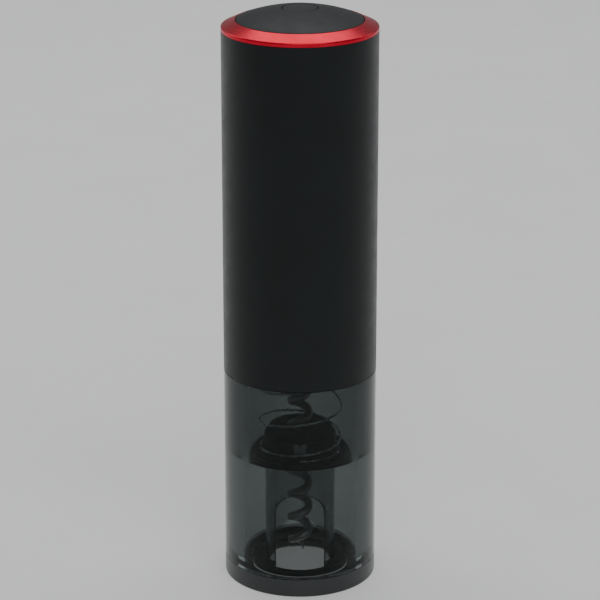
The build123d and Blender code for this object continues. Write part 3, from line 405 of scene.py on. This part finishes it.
def moulded(name, colour, roughness, grain_mm=0.35, grain_depth=0.012, variation=0.12, specular=0.5):
    """Moulded plastic: fine spark-eroded grain, faint flow marks and handling marks in its gloss."""
    nodes = Nodes(name)
    nodes.set(Specular_IOR_Level=specular)
    blotch = nodes.noise(14.0, 4.0)
    darker = tuple(channel * (1 - variation) for channel in colour)
    lighter = tuple(min(1.0, channel * (1 + variation)) for channel in colour)
    nodes.set(Base_Color=nodes.mix(nodes.spread(blotch, 0.0, 1.0), darker, lighter))
    handling = nodes.noise(5.0, 5.0, 0.65, distortion=0.4)
    nodes.set(Roughness=nodes.spread(handling, roughness - 0.05, roughness + 0.06))
    waviness = nodes.bump(nodes.noise(22.0, 1.0), 0.02)
    grain = nodes.bump(nodes.noise(grain_mm, 2.0, 0.6), grain_depth, below=waviness)
    nodes.set(Normal=grain)
    return nodes.material


def clear_plastic(name, absorb, density, roughness=0.03, wave_depth=0.03):
    """Smoke-tinted clear plastic: it darkens with the length of plastic that light crosses.

    The surface has the slight waviness of its mould, smears in its gloss and fine wiping scratches.
    """
    nodes = Nodes(name)
    nodes.set(Transmission_Weight=1.0, IOR=1.47, Specular_Tint=(0.4, 0.42, 0.42, 1.0))
    cloud = nodes.noise(18.0, 2.0)
    nodes.set(Base_Color=nodes.mix(nodes.spread(cloud, 0.0, 1.0), (0.95, 0.95, 0.95), (1.0, 1.0, 1.0)))
    smear = nodes.noise(4.0, 4.0, 0.6, distortion=0.6)
    nodes.set(Roughness=nodes.spread(smear, roughness * 0.5, roughness * 1.6))
    wave = nodes.bump(nodes.noise(16.0, 1.0, vector=nodes.round_space(upward=0.35)), wave_depth)
    scratches = nodes.noise(0.5, 2.0, vector=nodes.round_space(around=0.06))
    nodes.set(Normal=nodes.bump(scratches, 0.002, below=wave))
    volume = nodes.tree.nodes.new("ShaderNodeVolumeAbsorption")
    volume.inputs["Color"].default_value = (*absorb, 1.0)
    volume.inputs["Density"].default_value = density
    nodes.tree.links.new(volume.outputs["Volume"], nodes.output.inputs["Volume"])
    return nodes.material


def turned_metal(name, colour, roughness, line_mm=0.12, line_depth=0.004, variation=0.08):
    """Metal finished on a lathe: fine lines round the axis, with slight stains in its gloss."""
    nodes = Nodes(name)
    nodes.set(Metallic=1.0)
    lines = nodes.noise(line_mm, 2.0, vector=nodes.round_space(around=0.015))
    stain = nodes.noise(6.0, 4.0, 0.6)
    darker = tuple(channel * (1 - variation) for channel in colour)
    nodes.set(Base_Color=nodes.mix(nodes.spread(stain, 0.0, 1.0), darker, colour))
    nodes.set(Roughness=nodes.spread(stain, roughness - 0.04, roughness + 0.07))
    nodes.set(Normal=nodes.bump(lines, line_depth))
    return nodes.material


def drawn_metal(name, colour, roughness, grain_mm=0.25, depth=0.003, variation=0.12):
    """Drawn, rolled or plated metal: a fine even grain with darker handling stains."""
    nodes = Nodes(name)
    nodes.set(Metallic=1.0)
    stain = nodes.noise(3.0, 5.0, 0.65, distortion=0.3)
    darker = tuple(channel * (1 - variation) for channel in colour)
    nodes.set(Base_Color=nodes.mix(nodes.spread(stain, 0.0, 1.0), darker, colour))
    nodes.set(Roughness=nodes.spread(stain, roughness - 0.05, roughness + 0.1))
    nodes.set(Normal=nodes.bump(nodes.noise(grain_mm, 3.0, 0.6), depth))
    return nodes.material


def circuit_board(name):
    """Green solder mask with copper tracks showing through and a faint weave."""
    nodes = Nodes(name)
    tracks = nodes.cells(2.4, 0.7, feature="DISTANCE_TO_EDGE")
    line = nodes.spread(tracks, 1.0, 0.0, 0.02, 0.05)
    nodes.set(Base_Color=nodes.mix(line, (0.008, 0.085, 0.03), (0.02, 0.19, 0.075)))
    nodes.set(Roughness=nodes.spread(nodes.noise(1.0, 3.0), 0.22, 0.38), Coat_Weight=0.4)
    nodes.set(Normal=nodes.bump(line, 0.03, below=nodes.bump(nodes.noise(0.3, 1.0), 0.006)))
    return nodes.material


def cell_wrap(name):
    """Heat-shrunk blue film on a cell, finely wrinkled."""
    nodes = Nodes(name)
    wrinkle = nodes.noise(1.6, 3.0, 0.6, vector=nodes.round_space(upward=0.25), distortion=0.3)
    nodes.set(Base_Color=nodes.mix(nodes.spread(wrinkle, 0.0, 1.0), (0.015, 0.075, 0.24), (0.03, 0.12, 0.33)))
    nodes.set(Roughness=nodes.spread(wrinkle, 0.22, 0.36), Coat_Weight=0.3)
    nodes.set(Normal=nodes.bump(wrinkle, 0.05))
    return nodes.material


def windings(name):
    """Copper wire wound in close turns over dark laminations."""
    nodes = Nodes(name)
    turns = nodes.noise(0.3, 1.0, vector=nodes.round_space(around=0.08))
    nodes.set(Metallic=1.0, Roughness=nodes.spread(turns, 0.25, 0.45))
    nodes.set(Base_Color=nodes.mix(nodes.spread(turns, 0.0, 1.0), (0.36, 0.13, 0.05), (0.72, 0.33, 0.16)))
    nodes.set(Normal=nodes.bump(turns, 0.06))
    return nodes.material


def rubber(name, colour):
    """Soft insulated or sealing rubber: matt, dusty, finely pitted."""
    nodes = Nodes(name)
    dust = nodes.noise(2.0, 4.0, 0.7)
    lighter = tuple(min(1.0, channel * 1.35 + 0.01) for channel in colour)
    nodes.set(Base_Color=nodes.mix(nodes.spread(dust, 0.0, 0.7), colour, lighter))
    nodes.set(Roughness=nodes.spread(dust, 0.55, 0.75))
    nodes.set(Normal=nodes.bump(nodes.cells(0.25), 0.006))
    return nodes.material


def anodised_red(name):
    """Red anodised aluminium with fine turned lines."""
    nodes = Nodes(name)
    nodes.set(Metallic=1.0)
    lines = nodes.noise(0.09, 2.0, vector=nodes.round_space(around=0.012))
    tone = nodes.noise(9.0, 3.0)
    nodes.set(Base_Color=nodes.mix(nodes.spread(tone, 0.0, 1.0), (0.58, 0.010, 0.028), (0.70, 0.018, 0.042)))
    nodes.set(Roughness=nodes.spread(lines, 0.24, 0.34))
    nodes.set(Normal=nodes.bump(lines, 0.0035))
    return nodes.material


# By the record's material slots; the clips' pale material is only the look of the sleeve's clips: painted
# light, a pale colour for the light that shows through the cap's windows, on clips that are clear smoky
# plastic
MATERIALS = {
    "smoky_clear": clear_plastic("smoky_clear", (0.0, 0.07, 0.06), 185.0),
    "sleeve_clear": clear_plastic("sleeve_clear", (0.0, 0.05, 0.04), 420.0, roughness=0.08, wave_depth=0.05),
    "clip_painted_light": moulded("clip_painted_light", (0.72, 0.75, 0.75), 0.3, 0.3, 0.006),
    "base_black": moulded("base_black", (0.024, 0.027, 0.028), 0.26, 0.5, 0.004, specular=0.5),
    "ring_black": moulded("ring_black", (0.020, 0.022, 0.022), 0.34, 0.3, 0.006),
    "body_black": moulded("body_black", (0.0066, 0.0092, 0.0097), 0.34, 0.28, 0.006, specular=0.22),
    "dome_slate": moulded("dome_slate", (0.0115, 0.0140, 0.0150), 0.48, 0.22, 0.008, specular=0.3),
    "button_slate": moulded("button_slate", (0.0110, 0.0130, 0.0140), 0.42, 0.22, 0.006, specular=0.3),
    "red_trim": anodised_red("red_trim"),
    "cap_black": moulded("cap_black", (0.016, 0.018, 0.018), 0.20, 0.4, 0.004),
    "spring_steel": drawn_metal("spring_steel", (0.86, 0.87, 0.88), 0.24),
    "worm_steel": drawn_metal("worm_steel", (0.48, 0.465, 0.47), 0.36, 0.15, 0.004),
    "steel": turned_metal("steel", (0.58, 0.59, 0.61), 0.26),
    "screw_steel": drawn_metal("screw_steel", (0.55, 0.56, 0.58), 0.3),
    "gear_white": moulded("gear_white", (0.76, 0.75, 0.69), 0.42, 0.4, 0.006, 0.04),
    "frame_grey": moulded("frame_grey", (0.15, 0.16, 0.17), 0.5, 0.4, 0.012),
    "seal_rubber": rubber("seal_rubber", (0.022, 0.022, 0.022)),
    "motor_steel": turned_metal("motor_steel", (0.62, 0.62, 0.60), 0.34, 0.4, 0.004, 0.16),
    "magnet": moulded("magnet", (0.055, 0.055, 0.060), 0.62, 0.5, 0.03),
    "copper": windings("copper"),
    "endcap_nylon": moulded("endcap_nylon", (0.80, 0.78, 0.70), 0.45, 0.4, 0.006, 0.05),
    "cell_wrap": cell_wrap("cell_wrap"),
    "nickel": drawn_metal("nickel", (0.66, 0.63, 0.57), 0.32, 0.5, 0.008),
    "board_green": circuit_board("board_green"),
    "lead_red": rubber("lead_red", (0.42, 0.012, 0.014)),
    "switch_black": moulded("switch_black", (0.018, 0.018, 0.019), 0.4, 0.3, 0.008),
}


def paint_cad_nodes():
    """Give every CAD node the finish of its material slot."""
    for part in frame["record"]["subparts"]:
        node = frame["nodes"][part["node"]]
        node.data.materials.clear()
        node.data.materials.append(MATERIALS[part["material_slot"]])


paint_cad_nodes()


# ---------------------------------------------------------------- base ring and chamber
def build_base_ring():
    """Dark foot with the flared opening for the bottle's neck."""
    outline = rounded([
        (MOUTH_FLARE_R, 0, 0.3), (BODY_R, 0, 0.5), (BODY_R, BASE_H, 0.12), (RABBET_R, BASE_H, 0.05),
        (RABBET_R, FLOOR_Z, 0.05), (MOUTH_FLARE_R, FLOOR_Z, 0.3), (MOUTH_R, MOUTH_HIGH, 0.25),
        (MOUTH_R, MOUTH_LOW, 0.3),
    ])
    mesh = turned("base_ring_turned", outline)
    place("base_ring_turned", mesh, MATERIALS["base_black"], "root", "base_ring")


def build_chamber():
    """Thick clear chamber: two bores, a spigot into the base and one into the housing."""
    outline = rounded([
        (NECK_BORE_R, FLOOR_Z + SLIVER, 0.15), (CHAMBER_FOOT_R, FLOOR_Z + SLIVER, 0.15),
        (CHAMBER_FOOT_R, BASE_H + SLIVER, 0.1), (BODY_R, BASE_H + SLIVER, 0.25),
        (BODY_R, SEAM_Z - SLIVER, 0.25), (SPIGOT_R, SEAM_Z - SLIVER, 0.1), (SPIGOT_R, SPIGOT_Z, 0.3),
        (SPRING_BORE_R, SPIGOT_Z, 0.3), (SPRING_BORE_R, STEP_Z + SLIVER, 0.15),
        (NECK_BORE_R, STEP_Z + SLIVER, 0.25),
    ])
    mesh = turned("chamber_turned", outline, FINE_SEGMENTS)
    place("chamber_turned", mesh, MATERIALS["smoky_clear"], "root", "clear_chamber")


def build_guide_ring():
    """Dark ring that the sleeve slides through, with the well that the cap's flange sits in."""
    low, high, outer = RING_LOW.z, RING_HIGH.z, RING_HIGH.x
    outline = rounded([
        (GUIDE_BORE_R, low, 0.2), (GUIDE_WELL_R + 0.4, low, 0.3), (outer, STEP_Z, 0.05), (outer, high, 0.3),
        (outer - 1.0, high, 0.2), (GUIDE_WELL_R, high - 1.4, 0.2), (GUIDE_WELL_R, low + GUIDE_FLOOR_T, 0.2),
        (GUIDE_BORE_R, low + GUIDE_FLOOR_T, 0.1),
    ])
    mesh = turned("guide_ring_turned", outline)
    place("guide_ring_turned", mesh, MATERIALS["ring_black"], "root", "guide_ring")


# ---------------------------------------------------------------- sleeve, its clips and the cap
def arch(top, steps=24):
    """Outline of a sleeve window, arched at its top and open at the sleeve's foot."""
    points = [(-WINDOW_HALF, 0.0)]
    for step in range(steps + 1):
        angle = pi - pi * step / steps
        points.append((WINDOW_HALF * cos(angle), top - WINDOW_HALF + WINDOW_HALF * sin(angle)))
    points.append((WINDOW_HALF, 0.0))
    return points


def build_sleeve():
    """Clear sleeve that takes the cork, with a tall window in front and a low one behind."""
    outline = rounded([
        (SLEEVE_BORE_R, SLEEVE_LOW_Z, 0.2), (SLEEVE_R, SLEEVE_LOW_Z, 0.35),
        (SLEEVE_R, SLEEVE_TOP_Z - SLIVER, 0.15), (SLEEVE_NECK_R, SLEEVE_TOP_Z - SLIVER, 0.05),
        (SLEEVE_NECK_R, SLEEVE_NECK_Z, 0.2), (SLEEVE_BORE_R, SLEEVE_NECK_Z, 0.2),
    ])
    mesh = turned("cork_sleeve_cut", outline)
    mesh = cut(mesh, [
        prism("front_window", arch(FRONT_WINDOW_Z), -SLEEVE_R - 1, 0),
        prism("back_window", arch(BACK_WINDOW_Z), 0, SLEEVE_R + 1),
    ])
    place("cork_sleeve_cut", mesh, MATERIALS["sleeve_clear"], "carriage", "cork_sleeve")


def build_bottle_seat():
    """Ring under the sleeve that the bottle's mouth pushes up, with two ears that carry the sleeve's legs."""
    low, outer, bore = SEAT_LOW.z, SEAT_HIGH.x, SEAT_BORE_R
    step, top = low + SEAT_T / 2, low + SEAT_T
    outline = rounded([
        (bore, low, 0.15), (outer, low, 0.2), (outer, step, 0.1), (outer - 0.6, top, 0.15),
        (outer - 1.2, top, 0.15), (outer - 1.6, step, 0.15), (bore + 0.7, step, 0.15), (bore + 0.4, top, 0.1),
        (bore, top, 0.1),
    ])
    mesh = turned("bottle_seat_turned", outline)
    place("bottle_seat_turned", mesh, MATERIALS["ring_black"], "carriage", "bottle_seat")
    steps = 24
    for middle, name in ((0.0, "right"), (pi, "left")):
        angles = [middle + SEAT_EAR * (index / steps - 0.5) for index in range(steps + 1)]
        outline = [((bore + 0.2) * cos(angle), (bore + 0.2) * sin(angle)) for angle in angles]
        outline += [(SLEEVE_BORE_R * cos(angle), SLEEVE_BORE_R * sin(angle)) for angle in reversed(angles)]
        mesh = plate(f"seat_ear_{name}", outline, low, SEAT_HIGH.z - SLIVER)
        piece = place(f"seat_ear_{name}", mesh, MATERIALS["ring_black"], "carriage")


def build_clips():
    """Notched clips of the sleeve in the cap's two windows."""
    top_half = CLIP_HALF + 0.2
    outline = [
        (-CLIP_HALF, CLIP_Z), (CLIP_HALF, CLIP_Z), (top_half, CLIP_TOP_Z), (CLIP_NOTCH / 3, CLIP_TOP_Z),
        (0, CLIP_TOP_Z - CLIP_NOTCH), (-CLIP_NOTCH / 3, CLIP_TOP_Z), (-top_half, CLIP_TOP_Z),
    ]
    inner_r = SLEEVE_NECK_R + PRESS_GAP
    for side, name in ((-1, "front"), (1, "back")):
        mesh = prism(f"sleeve_clip_{name}", outline, side * inner_r, side * (inner_r + CLIP_T))
        # Pale painted light on the clips, for the light that shows through the cap's two windows
        piece = place(f"sleeve_clip_{name}", mesh, MATERIALS["clip_painted_light"], "carriage")
        bevel = piece.modifiers.new("edge", "BEVEL")
        bevel.width = 0.12 * MM
        bevel.segments = 3


def build_cap():
    """Dark stepped cap on the sleeve, with the flange that the spring pushes on."""
    top, flange_z, neck_r = CAP_HIGH.z, SLEEVE_TOP_Z + CAP_FLANGE_T, SLEEVE_NECK_R + PRESS_GAP
    outline = rounded([
        (CAP_HOLE_R, top, 0.3), (CAP_LIP_R, top, 0.3), (CAP_LIP_R, top - 0.8, 0.15),
        (CAP_GROOVE_R, top - 1.1, 0.1), (CAP_GROOVE_R, top - 1.2, 0.1), (CAP_R, top - 1.6, 0.5),
        (CAP_R, flange_z, 0.3), (CAP_HIGH.x, flange_z, 0.3), (CAP_HIGH.x, SLEEVE_TOP_Z, 0.3),
        (neck_r, SLEEVE_TOP_Z, 0.1), (neck_r, SLEEVE_NECK_Z + 0.2, 0.1),
        (SLEEVE_BORE_R - 0.3, SLEEVE_NECK_Z + 1.2, 0.1), (CAP_HOLE_R, SLEEVE_NECK_Z + 1.4, 0.2),
    ])
    slot_half = CLIP_HALF + 0.3
    low, high = CLIP_Z - 0.15, CLIP_TOP_Z + 0.15
    slot = [(-slot_half, low), (slot_half, low), (slot_half, high), (-slot_half, high)]
    mesh = cut(turned("collet_cap_cut", outline), [
        prism("front_slot", slot, -SLEEVE_NECK_R + 0.6, -CAP_R - 1),
        prism("back_slot", slot, SLEEVE_NECK_R - 0.6, CAP_R + 1),
    ])
    place("collet_cap_cut", mesh, MATERIALS["cap_black"], "carriage", "collet_cap")


# ---------------------------------------------------------------- spring and worm
def build_spring():
    """Return spring with closed ends."""
    low = SPRING_LOW.z + SPRING_WIRE_R
    rise = SPRING_HIGH.z - SPRING_LOW.z - 2 * SPRING_WIRE_R
    extra = SPRING_PITCH - SPRING_DEAD_PITCH
    turns = (rise + 2 * extra) / SPRING_PITCH
    count = round(turns * TURN_STEPS)
    centres = []
    height = low
    for index in range(count + 1):
        turn = turns * index / count
        angle = 2 * pi * turn - pi / 2
        radius = SPRING_FIRST_R + (SPRING_R - SPRING_FIRST_R) * ease(turn / 2)
        centres.append(Vector((radius * cos(angle), radius * sin(angle), height)))
        open_part = ease((turn - 0.9) / 0.2) * ease((turns - 0.9 - turn) / 0.2)
        height += (SPRING_DEAD_PITCH + extra * open_part) * (turns / count)
    mesh = swept("return_spring_wire", centres, [SPRING_WIRE_R] * len(centres), 14)
    piece = place("return_spring_wire", mesh, MATERIALS["spring_steel"], "root", "return_spring")
    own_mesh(piece)


def build_worm():
    """Worm: a right-handed helix of thick wire that tapers and turns in to a point."""
    tip_z = WORM_LOW.z + 0.25
    full_z = tip_z + WORM_TAPER
    top_z = WORM_HIGH.z - WORM_WIRE_R
    count = round((top_z - tip_z) / WORM_PITCH * TURN_STEPS)
    centres, radii = [], []
    for index in range(count + 1):
        height = tip_z + (top_z - tip_z) * index / count
        angle = WORM_PHASE + 2 * pi * (height - full_z) / WORM_PITCH
        share = min(1.0, (height - tip_z) / WORM_TAPER)
        pull = 0.35 + 0.65 * ease(share * 1.6)
        centres.append(Vector((WORM_R * pull * cos(angle), WORM_R * pull * sin(angle), height)))
        radii.append(WORM_WIRE_R * (0.06 + 0.94 * sqrt(share) * (0.35 + 0.65 * share)))
    mesh = swept("worm_wire", centres, radii, 24)
    place("worm_wire", mesh, MATERIALS["worm_steel"], "worm_drive", "worm_screw")


# ---------------------------------------------------------------- housing, trim ring, dome and button
def oval(half_wide, half_high, middle_z, steps=10):
    """Outline of an upright slot with round ends."""
    points = []
    for side in (1, -1):
        for step in range(steps + 1):
            angle = pi * step / steps - side * pi / 2
            centre = side * (half_wide - half_high)
            points.append((centre + half_high * cos(angle), middle_z + half_high * sin(angle)))
    return points


def build_housing():
    """Satin black tube with the charging slot in its back."""
    inner_r = BODY_R - WALL
    outline = rounded([
        (inner_r, SEAM_Z, 0.1), (BODY_R, SEAM_Z, 0.3), (BODY_R, TRIM_Z, 0.15), (inner_r, TRIM_Z, 0.1),
    ])
    mesh = cut(turned("upper_housing_turned", outline, FINE_SEGMENTS), [
        prism("socket_slot", oval(SLOT_HALF_W, SLOT_HALF_H, SOCKET_Z), BODY_R - 2 * WALL, BODY_R + 1),
    ])
    place("upper_housing_turned", mesh, MATERIALS["body_black"], "root", "upper_housing")


def build_trim_ring():
    """Red ring: an upright band, then a bevel up to the dome."""
    outline = rounded([
        (DOME_SEAT_R, TRIM_LOW_Z, 0.1), (TRIM_SPIGOT_R, TRIM_LOW_Z, 0.1),
        (TRIM_SPIGOT_R, TRIM_Z + SLIVER, 0.05), (BODY_R, TRIM_Z + SLIVER, 0.15),
        (BODY_R, TRIM_Z + TRIM_BAND_H, 0.3), (DOME_SEAT_R, DOME_RIM_Z, 0.2),
    ])
    mesh = turned("trim_ring_turned", outline, FINE_SEGMENTS)
    place("trim_ring_turned", mesh, MATERIALS["red_trim"], "root", "trim_ring")


def dome_z(radius, sink=0.0):
    """Height of the dome at a radius, or of the surface that lies sink below it."""
    return TOTAL_H - SPHERE_R + sqrt((SPHERE_R - sink) ** 2 - radius**2)


def dome_run(start, end, sink=0.0, steps=14):
    """Points of the dome's section between two radii."""
    radii = [start + (end - start) * step / steps for step in range(steps + 1)]
    return [(radius, dome_z(radius, sink), 0.0) for radius in radii]


def build_dome():
    """Slate cap, slightly domed, with the round hole for the button."""
    crown = dome_run(DOME_R - 0.3, BUTTON_HOLE_R + 0.25)
    ceiling = dome_run(BUTTON_HOLE_R, DOME_R - DOME_T, DOME_T)
    outline = rounded([
        (DOME_R, DOME_LOW.z, 0.1), (DOME_R, dome_z(DOME_R) - SLIVER, 0.25), *crown,
        (BUTTON_HOLE_R, dome_z(BUTTON_HOLE_R) - SLIVER, 0.2), *ceiling, (DOME_R - DOME_T, DOME_LOW.z, 0.1),
    ])
    mesh = turned("dome_cap_turned", outline, FINE_SEGMENTS)
    place("dome_cap_turned", mesh, MATERIALS["dome_slate"], "root", "dome_cap")


def build_button():
    """Round button, flush with the dome, hollow under its crown."""
    flange_top = BUTTON_LOW.z + BUTTON_FLANGE_T
    inner_r = BUTTON_R - 1.0
    crown = dome_run(0.0, BUTTON_R - 0.3, BUTTON_SINK, 8)
    outline = rounded([
        *crown, (BUTTON_R, dome_z(BUTTON_R, BUTTON_SINK) - 0.03, 0.25), (BUTTON_R, flange_top, 0.05),
        (BUTTON_HIGH.x, flange_top, 0.1), (BUTTON_HIGH.x, BUTTON_LOW.z, 0.1), (inner_r, BUTTON_LOW.z, 0.1),
        (inner_r, BUTTON_CEILING_Z, 0.1), (0.0, BUTTON_CEILING_Z, 0.0),
    ])
    mesh = turned("power_button_turned", outline)
    place("power_button_turned", mesh, MATERIALS["button_slate"], "button", "power_button")


build_base_ring()
build_chamber()
build_guide_ring()
build_sleeve()
build_bottle_seat()
build_clips()
build_cap()
build_spring()
build_worm()
build_housing()
build_trim_ring()
build_dome()
build_button()


# ---------------------------------------------------------------- floor, light and camera
def build_floor():
    """Plain pale floor with a little light of its own."""
    mesh = bpy.data.meshes.new("floor")
    half = 3.0
    corners = [(-half, -half, 0), (half, -half, 0), (half, half, 0), (-half, half, 0)]
    mesh.from_pydata(corners, [], [(0, 1, 2, 3)])
    floor = bpy.data.objects.new("floor", mesh)
    bpy.context.scene.collection.objects.link(floor)
    nodes = Nodes("floor_pale")
    cloud = nodes.spread(nodes.noise(60.0), 0.0, 1.0)
    nodes.set(Base_Color=nodes.mix(cloud, (0.55, 0.55, 0.55), (0.58, 0.58, 0.58)))
    nodes.set(Roughness=0.6, Emission_Color=(1.0, 1.0, 1.0, 1.0), Emission_Strength=0.27)
    mesh.materials.append(nodes.material)


def area_light(name, place_at, aim_at, width, height, power):
    """Soft rectangular light."""
    data = bpy.data.lights.new(name, "AREA")
    data.shape = "RECTANGLE"
    data.size = width
    data.size_y = height
    data.energy = power
    light = bpy.data.objects.new(name, data)
    bpy.context.scene.collection.objects.link(light)
    light.location = place_at
    light.rotation_euler = (Vector(aim_at) - Vector(place_at)).to_track_quat("-Z", "Y").to_euler()


def build_lights():
    """Soft boxes above, in front and behind both sides, with a dim even surround."""
    world = bpy.data.worlds.new("studio")
    bpy.context.scene.world = world
    world.use_nodes = True
    backdrop = world.node_tree.nodes["Background"]
    backdrop.inputs["Color"].default_value = (0.95, 0.98, 1.0, 1.0)
    backdrop.inputs["Strength"].default_value = 0.27
    middle = (0, 0, 0.10)
    area_light("top_box", (0.0, 0.75, 1.6), middle, 1.3, 1.1, 9)
    area_light("front_box", (0.3, -1.2, 1.5), middle, 1.6, 1.0, 12)
    area_light("left_box", (-1.1, 0.7, 0.9), middle, 0.6, 1.0, 3.5)
    area_light("right_box", (1.1, 0.8, 0.9), middle, 0.5, 1.0, 2.2)


def build_camera():
    """Camera in front of the object and above it, looking down at its middle."""
    data = bpy.data.cameras.new("camera")
    data.lens = 157.46
    data.sensor_width = 36.0
    camera = bpy.data.objects.new("camera", data)
    bpy.context.scene.collection.objects.link(camera)
    camera.location = (0, -0.77456, 0.35979)
    camera.rotation_euler = (radians(70.851), 0, 0)
    bpy.context.scene.camera = camera


build_floor()
build_lights()
build_camera()
